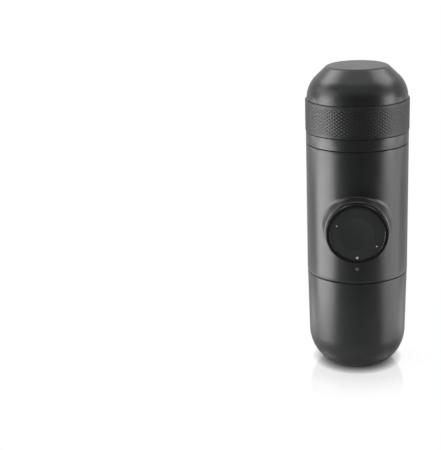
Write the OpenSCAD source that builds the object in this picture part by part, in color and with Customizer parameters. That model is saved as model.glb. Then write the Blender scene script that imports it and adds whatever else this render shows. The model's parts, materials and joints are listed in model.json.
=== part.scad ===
// Handheld manual espresso maker, closed: tank below, pump body, inverted cup as the cap.
// Millimetres. Z up, origin in the middle of the tank's flat foot, push button towards -Y.

/* [Overall] */
// Outer diameter of the pump body and of the cup's rim
body_d = 58; // [56:0.5:62]
// Height of the water tank up to its seam
tank_h = 57; // [50:1:70]
// Height of the pump body between its two seams
body_h = 76.3; // [75:0.1:88]
// Height of the cup from its rim to its flat top
cup_h = 43.2; // [42:0.1:50]
// Wall of the moulded shells
wall = 2.5; // [2.2:0.1:3]

/* [Piston] */
// Diameter of the push button
button_d = 34; // [32:0.5:36]
// Outer diameter of the plated sleeve behind the button
sleeve_d = 20; // [19:0.25:20.5]
// Travel of the piston
stroke = 25; // [20:0.5:26]
// Height of the piston's axis above the lower seam
axis_h = 32.9; // [31:0.1:38]
// How far the boss face stands from the body's axis
boss_reach = 37; // [36:0.25:40]

/* [Brewing] */
// Outer diameter of the filter basket
basket_d = 39; // [36:0.5:40]
// Depth of the filter basket
basket_h = 20; // [16:0.5:21]

/* [Grip] */
// Dimples in one row around the grip sleeve
knurl_n = 60; // [48:2:66]
// Height between one staggered row of dimples and the next
knurl_step = 0.92; // [0.9:0.01:1.2]
// Depth of a dimple
knurl_depth = 0.45; // [0.2:0.05:0.6]

/* [Fits] */
// Radial gap between curved faces that move past each other
gap = 0.3; // [0.3:0.05:0.4]
// Radial gap of the guided sleeve and of the plunger's seal
run_fit = 0.08; // [0.05:0.01:0.1]
// Gap between pieces that are fixed together
slip = 0.05; // [0.02:0.01:0.08]

/* [Hidden] */
$fn = 96;
eps = 0.01;

// Radii of the body
r_body = body_d / 2;
r_in = r_body - wall;
r_step = r_body - 1;            // rebate of the shell over the base plate
r_spigot = r_in - 1.5;          // screws into the tank
r_socket = r_in - 1.85;         // thread ring for the outlet head
r_skirt = r_socket - 0.55;      // the outlet head's screwed skirt
r_skirt_in = r_skirt - 1.7;
r_neck = r_body - 3;            // glossy collar
r_head = r_body - 2.8;
r_rim_in = r_body - 1.7;        // inside of the cup's rim
r_cup_in = r_body - 2.1;
r_core = r_body - 1.1;          // the cup behind its grip sleeve
r_grip = r_body + 0.25;

// Heights
z_foot_corner = 19.5;
z_body = tank_h;
z_top = tank_h + body_h;
z_cap = z_top + cup_h;
z_axis = z_body + axis_h;
z_group = z_top - 15.3;         // underside of the group plate
z_deck = z_group + 6;           // its upper face
z_mouth = z_deck + 2;           // top of the group seal
z_skirt = z_mouth + 1.2;          // the basket's flange lies between
z_neck = z_top + 0.3;
z_head = z_top + 6.1;
z_rim = z_top + 6.8;
z_dome = z_cap - 18.3;          // lower edge of the dome, upper end of the grip

// Piston, as distances d from the body's axis towards the button
r_button = button_d / 2;
r_pocket = r_button + gap;
r_boss = r_button + 1;
r_sleeve = sleeve_d / 2;
r_bore = r_sleeve - 1.4;
r_lug = r_sleeve + 1.7;
r_house_in = r_lug + 0.4;
r_house = r_house_in + 2.5;
d_face = boss_reach;
d_floor = d_face - 2;
d_bush = d_floor - 1.6;
d_lug = 3;                      // inner end of the sleeve
lug_t = 2;
d_rod = d_floor;                // outer end of the rod's head
port_y = r_in - 7.5;            // inlet and outlet pipes behind the axis
r_barrel = 6.2;
r_cyl = 4.6;
r_rod = 3;
seal_y = port_y - 7.2;          // the plunger's seal when the piston is in
d_guide = d_lug + lug_t + stroke + 0.1; // inner end of the bush, where the lugs stop
dish_r = 51.1;                  // ball that hollows the button's face
dish_depth = 0.8;
face_t = 2.2;

// Inside the body
r_pipe = 1.5;
r_valve = 3.1;                  // flange of a duckbill valve
valve_t = 1;
plate_t = 4;                    // base plate above the seam
r_post = 1.4;
post_x = r_house + r_post + 0.85;
post_y = sqrt(pow(r_in - 4.5, 2) - pow(post_x, 2));
vent_y = r_in - 11.5;
screw_r = r_house - 1.25;       // ring of the pump block's screws
seal_w = 3.15;                  // width of the group seal
screen_t = 0.8;
r_screen = r_in - 5;
basket_wall = 0.8;

// Dome of the cup: an arc between a steep wall and a straight cone
dome_r = r_body - 17.2;
dome_z = z_dome + 0.25;
dome_arc = 16.56;
dome_a = 6.77;
dome_b = 45.9;

plastic = [0.13, 0.135, 0.14];
gloss = [0.05, 0.05, 0.055];
rubber = [0.2, 0.2, 0.21];
steel = [0.75, 0.76, 0.78];
inner = [0.32, 0.33, 0.35];

// Turn a profile of [radius, height] points about Z
module lathe(points) {
    rotate_extrude() polygon(points);
}

// Flat ring between two radii
module ring(r_out, r_inner, z0, z1) {
    difference() {
        translate([0, 0, z0]) cylinder(r = r_out, h = z1 - z0);
        translate([0, 0, z0 - 1]) cylinder(r = r_inner, h = z1 - z0 + 2);
    }
}

// Round hole pattern: rings of holes, each [radius of the ring, number of holes]
module holes(rings, r, z0, z1) {
    for (row = rings, i = [0 : row[1] - 1])
        rotate([0, 0, 360 * i / row[1]]) translate([row[0], 0, z0]) cylinder(r = r, h = z1 - z0);
}

// Children drawn about Z, laid along the piston's axis: height becomes distance towards -Y
module on_piston() {
    translate([0, 0, z_axis]) rotate([90, 0, 0]) children();
}

// Sector of a ring, between angles -half and +half about X
module sector(r_inner, r_out, half, z0, z1) {
    rotate([0, 0, -half]) translate([0, 0, z0]) rotate_extrude(angle = 2 * half)
        polygon([[r_inner, 0], [r_out, 0], [r_out, z1 - z0], [r_inner, z1 - z0]]);
}

// Two opposite sectors, on the X axis
module pair(r_inner, r_out, half, z0, z1) {
    for (a = [0, 180]) rotate([0, 0, a]) sector(r_inner, r_out, half, z0, z1);
}

function foot_corner(r0, z0, r1, z1, n = 14) = [for (i = [0 : n]) let (t = 90 * i / n)
    [r0 + (r1 - r0) * pow(sin(t), 1.06), z0 + (z1 - z0) * (1 - pow(cos(t), 1.06))]];

function dome_curve(inset, n = 8) = [for (i = [0 : n]) let (t = dome_a + (dome_b - dome_a) * i / n)
    [dome_r + (dome_arc - inset) * cos(t), dome_z + (dome_arc - inset) * sin(t)]];

// Where the dome's cone, moved in by inset, reaches a height
function cone_r(inset, z) = dome_r + (dome_arc - inset) * cos(dome_b)
    - (z - dome_z - (dome_arc - inset) * sin(dome_b)) * tan(dome_b);

function flip(list) = [for (i = [len(list) - 1 : -1 : 0]) list[i]];

// Tank: rounded foot, slight taper, ledge for the seal inside a thin lip
module tank_shell() color(plastic) {
    r_low = r_body - 0.85;
    lathe(concat(
        [[0, 0]],
        foot_corner(r_body - 15, 0, r_low, z_foot_corner),
        [[r_body - 0.1, z_body - 0.45], [r_body - 0.4, z_body - 0.15], [r_step, z_body - 0.15],
            [r_step, z_body - 1.2], [r_in - 0.2, z_body - 1.2], [r_in - 0.2, z_body - 9],
            [r_low - wall, z_foot_corner + 0.5]],
        flip(foot_corner(r_body - 16, wall, r_low - wall, z_foot_corner)),
        [[0, wall]]));
}

module tank_seal() color(rubber)
    ring(r_step - gap, r_spigot + gap, z_body - 1.2, z_body + 0.1);

// Body shell with the round boss for the piston, blended at its sides by a concave flare
module body_shell() color(plastic) {
    difference() {
        union() {
            lathe([[0, z_body + 0.15], [r_body - 0.4, z_body + 0.15], [r_body, z_body + 0.55],
                [r_body, z_top - 0.55], [r_body - 0.4, z_top - 0.15], [0, z_top - 0.15]]);
            on_piston() boss();
        }
        translate([0, 0, z_body]) cylinder(r = r_step, h = 1.65);
        translate([0, 0, z_body + 1]) cylinder(r = r_in, h = body_h);
        on_piston() {
            translate([0, 0, d_bush]) cylinder(r = r_pocket, h = 10);
            translate([0, 0, 5]) cylinder(r = r_house + slip, h = d_bush);
        }
        translate([0, -r_body - 1, z_body + 9]) rotate([-90, 0, 0]) cylinder(r = 1.05, h = 1.6);
    }
}

flare_arc = 17;
flare_a = 41;
flare_r = r_boss + flare_arc * (1 - cos(flare_a));
flare_d = sqrt(pow(r_body - 0.1, 2) - pow(flare_r, 2));

module boss() {
    lathe(concat(
        [[0, 6], [flare_r, 6]],
        [for (i = [8 : -1 : 0]) let (t = flare_a * i / 8)
            [r_boss + flare_arc * (1 - cos(t)), flare_d + flare_arc * (sin(flare_a) - sin(t))]],
        [[r_boss - 0.05, d_face - 0.6], [r_boss - 0.2, d_face - 0.15], [r_boss - 0.4, d_face],
            [0, d_face]]));
}

// White pip that shows where the button's dot points when it is locked
module mark_pip() color([0.9, 0.9, 0.9])
    translate([0, -r_body - 0.05, z_body + 9]) rotate([-90, 0, 0]) cylinder(r = 1, h = 0.6);

// Base plate: flange in the shell's rebate, hollow spigot for the tank, water and air ports
module base_plate() color(inner) {
    difference() {
        lathe([[0, z_body - 3], [r_spigot - 2, z_body - 3], [r_spigot - 2, z_body - 7.5],
            [r_spigot, z_body - 7.5], [r_spigot, z_body + 0.1], [r_step - slip, z_body + 0.1],
            [r_step - slip, z_body + 1.6], [r_in - slip, z_body + 1.6],
            [r_in - slip, z_body + plate_t], [0, z_body + plate_t]]);
        translate([0, port_y, z_body - 4]) cylinder(r = r_pipe + 0.5, h = 9);
        translate([0, -vent_y, z_body - 4]) {
            cylinder(r = 1.2, h = 9);
            holes([[3, 4]], 0.6, 0, 9);
        }
    }
}

// Umbrella valve that lets air into the tank
module vent_valve() color(rubber) translate([0, -vent_y, z_body])
    lathe([[0, -4], [4.4, -3.4], [4.4, -3], [1.1, -3], [1.1, plate_t], [1.8, plate_t],
        [1.2, plate_t + 1.6], [0, plate_t + 1.6]]);

// Duckbill valve: flange, tapered bill and its slit, pointing up
module duckbill(z) color(rubber) translate([0, port_y, z]) difference() {
    union() {
        cylinder(r = r_valve, h = valve_t);
        translate([0, 0, valve_t]) cylinder(r1 = 2.4, r2 = 1.5, h = 2.6);
    }
    translate([0, 0, -1]) cylinder(r1 = 1.6, r2 = 0.9, h = 3.6);
    translate([-0.9, -0.08, 1]) cube([1.8, 0.16, 4]);
}

module inlet_valve() duckbill(z_body + plate_t);
module outlet_valve() duckbill(z_group - 5);

module frame_posts() color(steel) for (x = [-post_x, post_x], y = [-post_y, post_y])
    translate([x, y, z_body + plate_t]) cylinder(r = r_post, h = z_group - z_body - plate_t);

// Pump block: cylinder head behind the barrel, with the pipe from the tank and to the group
module pump_block() color(inner) {
    difference() {
        union() {
            on_piston() {
                translate([0, 0, -2]) cylinder(r = r_house, h = 4);
                translate([0, 0, -port_y - 4.5]) cylinder(r = 8.5, h = port_y + 3);
            }
            translate([0, port_y, z_body + plate_t])
                cylinder(r = r_valve + 1.3, h = z_group - z_body - plate_t);
        }
        on_piston() {
            translate([0, 0, -port_y + 1.5]) cylinder(r = r_barrel + slip, h = port_y + 3);
            translate([0, 0, -port_y - 2]) cylinder(r = r_cyl, h = 5);
            for (a = [45 : 90 : 315]) rotate([0, 0, a])
                translate([screw_r, 0, -3]) cylinder(r = 0.85, h = 6);
        }
        translate([0, port_y, z_body]) cylinder(r = r_pipe, h = z_group - z_body + 1);
        translate([0, port_y, z_body + plate_t - 1]) cylinder(r = r_valve + slip, h = 5.5);
        translate([0, port_y, z_group - 5]) cylinder(r = r_valve + slip, h = 6);
    }
}

module barrel() color(steel) on_piston() ring(r_barrel, r_cyl, -port_y + 2.7, d_floor - 11);

module barrel_seal() color(rubber) on_piston()
    ring(r_barrel, r_cyl, -port_y + 1.5, -port_y + 2.7);

// Housing of the piston: tube with an inner flange whose two notches let the lugs through
module piston_housing() color(inner) on_piston() difference() {
    translate([0, 0, 2]) cylinder(r = r_house, h = d_bush - 2);
    translate([0, 0, 1]) cylinder(r = r_sleeve + gap + 0.1, h = d_bush);
    translate([0, 0, 1]) cylinder(r = r_house_in, h = lug_t + 2.3);
    translate([0, 0, 7]) cylinder(r = r_house_in, h = d_bush);
    pair(r_sleeve, r_house_in, 19, 5, 7.5);
    for (a = [45 : 90 : 315]) rotate([0, 0, a])
        translate([screw_r, 0, 1]) cylinder(r = 0.7, h = 5.3);
}

module guide_bush() color(gloss) on_piston()
    ring(r_house_in - slip, r_sleeve + run_fit, d_guide, d_bush);

module bezel_ring() color(gloss) on_piston()
    lathe([[r_sleeve + gap + 0.1, d_bush], [r_pocket - slip, d_bush], [r_pocket - slip, d_floor],
        [r_pocket - 1.2, d_floor], [r_pocket - 1.6, d_floor - 0.5], [r_sleeve + 1.2, d_floor - 0.5],
        [r_sleeve + gap + 0.1, d_floor - 0.9]]);

module block_screws() color(steel) on_piston() for (a = [45 : 90 : 315]) rotate([0, 0, a])
    translate([screw_r, 0, 0]) {
        translate([0, 0, -3.2]) cylinder(r = 1.2, h = 1.2);
        translate([0, 0, -2.1]) cylinder(r = 0.65, h = 7.9);
    }

// Group plate: water from the pipe spreads under the screen
module group_plate() color(inner) {
    difference() {
        translate([0, 0, z_group]) cylinder(r = r_in - slip, h = z_deck - z_group);
        translate([0, 0, z_deck - 3]) cylinder(r = r_screen - 0.9, h = 4);
        translate([0, 0, z_deck - screen_t]) cylinder(r = r_screen, h = 2);
        translate([0, port_y, z_group - 1]) cylinder(r = r_pipe, h = 6);
        translate([0, 0, z_group + 1]) cylinder(r = 1.25, h = 6);
    }
    ring(3.5, 1.25, z_deck - 3 - eps, z_deck - screen_t);
}

module shower_screen() color(steel) difference() {
    translate([0, 0, z_deck - screen_t]) cylinder(r = r_screen - slip, h = screen_t);
    translate([0, 0, z_deck - 2]) cylinder(r = 1.4, h = 4);
    holes([[6, 8], [10.5, 14], [15, 20]], 0.6, z_deck - 2, z_deck + 1);
}

module screen_screw() color(steel)
    lathe([[0, z_group + 2], [1.2, z_group + 2], [1.2, z_deck], [3, z_deck], [3, z_deck + 0.7],
        [2.4, z_deck + 1.2], [0, z_deck + 1.2]]);

module group_seal() color(rubber)
    ring(r_socket - 1, r_socket - 1 - seal_w, z_deck, z_mouth);

module head_socket() color(inner) ring(r_in - slip, r_socket, z_deck, z_top - 0.3);

// Return spring around the barrel, drawn at the pressed length
module return_spring() color(steel) on_piston() {
    turns = 6.5;
    per = 16;
    n = 8;
    wire = 0.6;
    mean = (r_barrel + r_bore) / 2;
    low = 2 + wire + eps;
    rise = d_rod - 2 - wire - eps - low;
    steps = turns * per;
    points = [for (i = [0 : steps], k = [0 : n - 1])
        let (a = 360 * i / per, b = 360 * k / n, r = mean + wire * cos(b))
        [r * cos(a), r * sin(a), low + rise * i / steps + wire * sin(b)]];
    sides = [for (i = [0 : steps - 1], k = [0 : n - 1])
        let (a = i * n + k, b = i * n + (k + 1) % n) each [[a, b, b + n], [a, b + n, a + n]]];
    polyhedron(points = points, faces = concat(sides,
        [[for (k = [n - 1 : -1 : 0]) k], [for (k = [0 : n - 1]) steps * n + k]]), convexity = 12);
}

// Rod with its head under the button and the seal's seat at its tip
module plunger_rod() color(steel) on_piston() difference() {
    lathe([[0, -seal_y - 4.2], [r_cyl - 0.4, -seal_y - 4.2], [r_cyl - 0.4, -seal_y - 3.2],
        [r_rod, -seal_y - 3.2], [r_rod, -seal_y], [r_cyl - 0.4, -seal_y],
        [r_cyl - 0.4, -seal_y + 0.8], [r_rod, -seal_y + 0.8], [r_rod, d_rod - 2],
        [r_bore - 0.4, d_rod - 2], [r_bore - 0.4, d_rod], [0, d_rod]]);
    translate([0, 0, d_rod - 8]) cylinder(r = 1.5, h = 9);
}

module plunger_seal() color(rubber) on_piston()
    ring(r_cyl - run_fit, r_rod + slip, -seal_y - 3.2, -seal_y);

module rod_screw() color(steel) on_piston()
    lathe([[0, d_rod - 6], [1.45, d_rod - 6], [1.45, d_rod + 1.2], [3.4, d_rod + 1.2],
        [3.4, d_rod + 2.1], [2.9, d_rod + 2.4], [0, d_rod + 2.4]]);

// Button: matte flange, glossy ring and matte face over the hidden screw
module button_cap() color(plastic) on_piston() difference() {
    lathe([[0, d_floor + 0.3], [r_button - 0.25, d_floor + 0.3], [r_button, d_floor + 0.55],
        [r_button, d_face - 0.2], [r_button - 0.2, d_face], [0, d_face]]);
    ring(r_sleeve + slip, r_bore - slip, d_floor, d_face - 0.8);
    translate([0, 0, d_floor]) cylinder(r = 1.8, h = 3);
    translate([0, 0, d_rod + 1.2]) cylinder(r = 3.8, h = 3);
}

module button_rim() color(gloss) on_piston()
    lathe([[r_button - 1.6, d_face], [r_button - 0.7, d_face], [r_button - 0.7, d_face + 0.5],
        [r_button - 0.2, d_face + 0.6], [r_button, d_face + 0.9], [r_button, d_face + 1.9],
        [r_button - 0.25, d_face + 2.35], [r_button - 0.8, d_face + 2.5],
        [r_button - 1.35, d_face + 2.4], [r_button - 1.6, d_face + 2.2]]);

module button_face() color(plastic) on_piston() difference() {
    translate([0, 0, d_face]) cylinder(r = r_button - 1.6 - slip, h = face_t);
    translate([0, 0, d_face - 1]) cylinder(r = 3.8, h = 1.7);
    translate([0, 0, d_face + face_t + dish_r - dish_depth]) sphere(r = dish_r);
}

module piston_sleeve() color([0.85, 0.86, 0.88]) on_piston() {
    difference() {
        union() {
            translate([0, 0, d_lug]) cylinder(r = r_sleeve, h = d_face - 0.8 - d_lug);
            pair(r_sleeve - 0.5, r_lug, 15, d_lug, d_lug + lug_t);
        }
        translate([0, 0, d_lug - 1]) cylinder(r = r_bore, h = d_face);
    }
}

module head_seal() color(rubber) ring(r_in - gap, r_skirt + 0.7, z_top - 0.3, z_neck);

// Filter basket: mouth and flange down on the group seal, pierced floor up
module filter_basket() color(steel) difference() {
    r = basket_d / 2;
    z_end = z_mouth + basket_h;
    lathe([[r - basket_wall, z_mouth], [r_socket - 0.85, z_mouth], [r_socket - 0.85, z_skirt],
        [r, z_skirt], [r, z_end - basket_wall], [r - basket_wall, z_end], [0, z_end],
        [0, z_end - basket_wall], [r - basket_wall, z_end - basket_wall]]);
    holes([[4, 6], [8, 12], [12, 18], [15.5, 24]], 0.5, z_end - 2, z_end + 1);
}

// Outlet head: screwed skirt, neck under the collar, dome with a dished end
module outlet_head() color(plastic) {
    z_end = z_cap - 4;
    lathe(concat(
        [[r_skirt_in, z_skirt], [r_skirt, z_skirt], [r_skirt, z_head], [r_head - 0.2, z_head],
            [r_head, z_head + 0.3], [r_head, z_head + 1.2], [r_head - 0.25, z_head + 1.6],
            [r_head - 0.8, z_dome]],
        dome_curve(3.1),
        [[cone_r(3.1, z_end - 0.3), z_end - 0.3], [cone_r(3.1, z_end) - 0.5, z_end],
            [cone_r(3.1, z_end) - 1.1, z_end], [cone_r(3.1, z_end) - 1.4, z_end - 1.7],
            [5.3, z_end - 1.7], [5.3, z_end - 4.2]],
        [[cone_r(6, z_end - 4.2), z_end - 4.2]],
        flip(dome_curve(6, 5)),
        [[r_skirt_in, z_dome - 4]]));
}

// Glossy collar with the ridge that holds the cup's lugs, open at two notches
module head_collar() color(gloss) difference() {
    lathe([[r_skirt + slip, z_neck], [r_neck - 0.2, z_neck], [r_neck, z_neck + 0.3],
        [r_neck, z_neck + 3.4], [r_rim_in - 0.45, z_neck + 3.5], [r_rim_in - 0.35, z_neck + 3.7],
        [r_rim_in - 0.35, z_neck + 4.3], [r_rim_in - 0.45, z_neck + 4.5],
        [r_neck, z_neck + 4.7], [r_neck, z_head], [r_skirt + slip, z_head]]);
    pair(r_neck, r_body, 12, z_neck + 3, z_head + 1);
}

module spout_nozzle() color(gloss) {
    z_end = z_cap - 5.7;
    lathe([[1.8, z_end - 4.5], [5.2, z_end - 4.5], [5.2, z_end], [6.2, z_end],
        [6.2, z_end + 0.7], [5.8, z_end + 1], [3.2, z_end + 1], [1.8, z_end - 0.6]]);
}

module cup_seal() color(rubber) ring(r_body - 0.9, r_rim_in, z_top - 0.15, z_top + 0.9);

// Cup: rim, core under the grip, dome; two lugs inside the rim
module cup_shell() color(plastic) {
    lathe(concat(
        [[r_rim_in, z_top + 0.9], [r_body - 0.85, z_top + 0.9], [r_body - 0.85, z_top + 0.1],
            [r_body - 0.4, z_top + 0.1], [r_body, z_top + 0.5], [r_body, z_rim - 0.4],
            [r_body - 0.4, z_rim], [r_core, z_rim], [r_core, z_dome], [r_body - 0.8, z_dome],
            [r_body - 0.5, z_dome + 0.3]],
        dome_curve(0),
        [[cone_r(0, z_cap - 0.6), z_cap - 0.6], [cone_r(0, z_cap) - 0.1, z_cap - 0.15],
            [cone_r(0, z_cap) - 0.5, z_cap], [0, z_cap], [0, z_cap - 2],
            [cone_r(2, z_cap - 2), z_cap - 2]],
        flip(dome_curve(2)),
        [[r_cup_in, z_head + 0.3], [r_rim_in, z_head - 0.1]]));
    pair(r_head + gap, r_rim_in + 0.3, 8, z_neck + 1.2, z_neck + 3);
}

// Grip sleeve: staggered diamond dimples between two plain bands
module cup_grip() color(gloss) {
    n = 2 * knurl_n;
    z0 = z_rim + 0.1;
    z1 = z_dome - 0.1;
    rows = floor((z1 - z0 - 3) / knurl_step);
    low = (z0 + z1 - (rows - 1) * knurl_step) / 2;
    levels = concat(
        [[z0, r_core + slip, 0], [z0, r_grip - 0.35, 0], [z0 + 0.35, r_grip, 0],
            [low - 0.5, r_grip, 0]],
        [for (j = [0 : rows - 1]) [low + j * knurl_step, r_grip, j % 2 == 0 ? 1 : -1]],
        [[low + (rows - 1) * knurl_step + 0.5, r_grip, 0], [z1 - 0.35, r_grip, 0],
            [z1, r_grip - 0.35, 0], [z1, r_core + slip, 0]]);
    k = len(levels);
    points = [for (l = levels, i = [0 : n - 1])
        let (pit = l[2] == 0 ? 0 : (l[2] > 0) == (i % 2 == 0) ? knurl_depth : 0,
            r = l[1] - pit, a = 360 * i / n)
        [r * cos(a), r * sin(a), l[0]]];
    faces = [for (j = [0 : k - 1], i = [0 : n - 1])
        let (a = j * n + i, b = j * n + (i + 1) % n, c = ((j + 1) % k) * n + (i + 1) % n,
            d = ((j + 1) % k) * n + i)
        each [[a, c, b], [a, d, c]]];
    polyhedron(points = points, faces = faces, convexity = 4);
}

tank_shell();
tank_seal();
body_shell();
base_plate();
vent_valve();
inlet_valve();
outlet_valve();
frame_posts();
pump_block();
barrel();
barrel_seal();
piston_housing();
guide_bush();
bezel_ring();
block_screws();
group_plate();
shower_screen();
screen_screw();
group_seal();
head_socket();
mark_pip();
return_spring();
plunger_rod();
plunger_seal();
rod_screw();
button_cap();
button_rim();
button_face();
piston_sleeve();
head_seal();
filter_basket();
outlet_head();
head_collar();
spout_nozzle();
cup_seal();
cup_shell();
cup_grip();
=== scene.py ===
"""Handheld manual espresso maker, closed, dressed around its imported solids.

The device stands on the flat foot of its water tank, with the inverted cup as its cap and the push
button towards -Y. Lengths are in metres, in the frame of the solids.
"""

import json
import logging
import math
from dataclasses import dataclass
from enum import Enum

import bmesh
import bpy
import numpy as np
from mathutils import Matrix, Vector


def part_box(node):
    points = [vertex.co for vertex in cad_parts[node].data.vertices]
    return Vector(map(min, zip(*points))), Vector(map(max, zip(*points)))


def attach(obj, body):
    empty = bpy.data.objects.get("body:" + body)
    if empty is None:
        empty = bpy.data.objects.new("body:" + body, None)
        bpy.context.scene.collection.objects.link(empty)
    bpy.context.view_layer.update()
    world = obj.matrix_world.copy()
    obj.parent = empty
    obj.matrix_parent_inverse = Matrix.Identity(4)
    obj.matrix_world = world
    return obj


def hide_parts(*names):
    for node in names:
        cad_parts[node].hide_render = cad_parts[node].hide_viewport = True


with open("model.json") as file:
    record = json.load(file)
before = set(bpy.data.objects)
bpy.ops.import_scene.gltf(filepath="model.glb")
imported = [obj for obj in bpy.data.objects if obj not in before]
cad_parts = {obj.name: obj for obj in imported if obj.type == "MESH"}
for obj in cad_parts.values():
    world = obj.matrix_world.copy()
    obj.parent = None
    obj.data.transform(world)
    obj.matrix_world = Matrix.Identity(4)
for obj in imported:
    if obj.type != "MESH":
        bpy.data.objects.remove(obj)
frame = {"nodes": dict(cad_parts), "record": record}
LOG = logging.getLogger("espresso_maker")
MM = 0.001

HAIR = 0.1 * MM  # rounds of edges, from a barely broken one to a soft one
CRISP = 0.2 * MM
SOFT = 0.3 * MM

SCREW_LEAD = 6 * MM  # rise of tank and head in one turn, as their joints have it
SCREW_STARTS = 2

MOTTLE_SCALE = 40  # how much coarser a finish's mottling is than its grain
BRUSH_STRETCH = (0.12, 0.12, 1.0)  # scale of brushed grain, which runs around Z
NOISE_SPAN = (0.3, 0.7)  # where most of a noise's values lie
COLOUR_A, COLOUR_B, COLOUR_RESULT = 6, 7, 2  # sockets of a Mix node that mixes colours


class Body(Enum):
    """The rigid bodies that the finer pieces ride on."""

    TANK = "tank"
    MAIN = "main"
    BUTTON = "button"
    HEAD = "head"
    CUP = "cup"


class Slot(Enum):
    """The material slots of the part."""

    SHELL = "shell"
    GLOSS = "gloss"
    SEAL = "seal"
    STEEL = "steel"
    PLATING = "plating"
    INNER = "inner"
    MARK = "mark"


class Grain(Enum):
    """How a finish varies over a surface."""

    MOULDED = "moulded"
    POLISHED = "polished"
    BRUSHED = "brushed"


# ---------------------------------------------------------------- finishes


@dataclass(frozen=True)
class Finish:
    """One finish of the device, made of procedural nodes on Object coordinates."""

    name: str
    slot: Slot
    colour: tuple[float, float, float]
    roughness: float
    grain: Grain
    grain_size: float = 0.25 * MM
    grain_depth: float = 0.01 * MM
    spread: float = 0.1
    tint: float = 0.12
    metallic: float = 0.0
    specular: float = 0.5
    coat: float = 0.0
    coat_roughness: float = 0.1

    def build(self) -> bpy.types.Material:
        """Make the material.

        Returns:
            A material with grain, mottling and a bump.
        """
        material = bpy.data.materials.new(f"finish_{self.name}")
        material.use_nodes = True
        tree = material.node_tree
        shader = tree.nodes["Principled BSDF"]
        shader.inputs["Metallic"].default_value = self.metallic
        shader.inputs["Specular IOR Level"].default_value = self.specular
        shader.inputs["Coat Weight"].default_value = self.coat
        shader.inputs["Coat Roughness"].default_value = self.coat_roughness
        fine = self._noise(tree, self.grain_size, detail=2.0)
        broad = self._noise(tree, MOTTLE_SCALE * self.grain_size, detail=3.0, stretch=False)
        self._vary_colour(tree, shader, broad, fine)
        self._vary_roughness(tree, shader, broad)
        self._raise_grain(tree, shader, fine)
        return material

    def _noise(self, tree: bpy.types.NodeTree, size: float, detail: float,
               stretch: bool = True) -> bpy.types.NodeSocket:
        """Add a noise of a given feature size.

        Args:
            tree: The material's node tree.
            size: Feature size in metres.
            detail: Octaves of the noise.
            stretch: Whether a brushed finish draws the noise out around Z.

        Returns:
            The noise's value.
        """
        where = tree.nodes.new("ShaderNodeTexCoord")
        place = tree.nodes.new("ShaderNodeMapping")
        if self.grain is Grain.BRUSHED and stretch:
            place.inputs["Scale"].default_value = BRUSH_STRETCH
        noise = tree.nodes.new("ShaderNodeTexNoise")
        noise.inputs["Scale"].default_value = 1.0 / size
        noise.inputs["Detail"].default_value = detail
        tree.links.new(where.outputs["Object"], place.inputs["Vector"])
        tree.links.new(place.outputs["Vector"], noise.inputs["Vector"])
        return noise.outputs["Fac"]

    def _vary_colour(self, tree: bpy.types.NodeTree, shader: bpy.types.Node,
                     broad: bpy.types.NodeSocket, fine: bpy.types.NodeSocket) -> None:
        """Mottle the base colour a little, over broad areas and in the grain.

        Args:
            tree: The material's node tree.
            shader: Its shader.
            broad: The mottling's noise.
            fine: The grain's noise.
        """
        total = tree.nodes.new("ShaderNodeMath")
        total.operation = "ADD"
        mix = tree.nodes.new("ShaderNodeMix")
        mix.data_type = "RGBA"
        mean = tree.nodes.new("ShaderNodeMath")
        mean.operation = "MULTIPLY"
        mean.inputs[1].default_value = 0.5
        tree.links.new(broad, total.inputs[0])
        tree.links.new(fine, total.inputs[1])
        tree.links.new(total.outputs[0], mean.inputs[0])
        tree.links.new(mean.outputs[0], mix.inputs["Factor"])
        for socket, share in ((COLOUR_A, 1 - self.tint), (COLOUR_B, 1 + self.tint)):
            mix.inputs[socket].default_value = (*(c * share for c in self.colour), 1)
        tree.links.new(mix.outputs[COLOUR_RESULT], shader.inputs["Base Color"])

    def _vary_roughness(self, tree: bpy.types.NodeTree, shader: bpy.types.Node,
                        broad: bpy.types.NodeSocket) -> None:
        """Vary the roughness by plus and minus the spread.

        Args:
            tree: The material's node tree.
            shader: Its shader.
            broad: The mottling's noise.
        """
        span = tree.nodes.new("ShaderNodeMapRange")
        span.inputs["From Min"].default_value, span.inputs["From Max"].default_value = NOISE_SPAN
        span.inputs["To Min"].default_value = self.roughness * (1 - self.spread)
        span.inputs["To Max"].default_value = self.roughness * (1 + self.spread)
        tree.links.new(broad, span.inputs["Value"])
        tree.links.new(span.outputs["Result"], shader.inputs["Roughness"])

    def _raise_grain(self, tree: bpy.types.NodeTree, shader: bpy.types.Node,
                     fine: bpy.types.NodeSocket) -> None:
        """Turn the fine noise into a bump of the grain's depth.

        Args:
            tree: The material's node tree.
            shader: Its shader.
            fine: The grain's noise.
        """
        bump = tree.nodes.new("ShaderNodeBump")
        bump.inputs["Strength"].default_value = 1.0
        bump.inputs["Distance"].default_value = self.grain_depth
        tree.links.new(fine, bump.inputs["Height"])
        tree.links.new(bump.outputs["Normal"], shader.inputs["Normal"])


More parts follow.
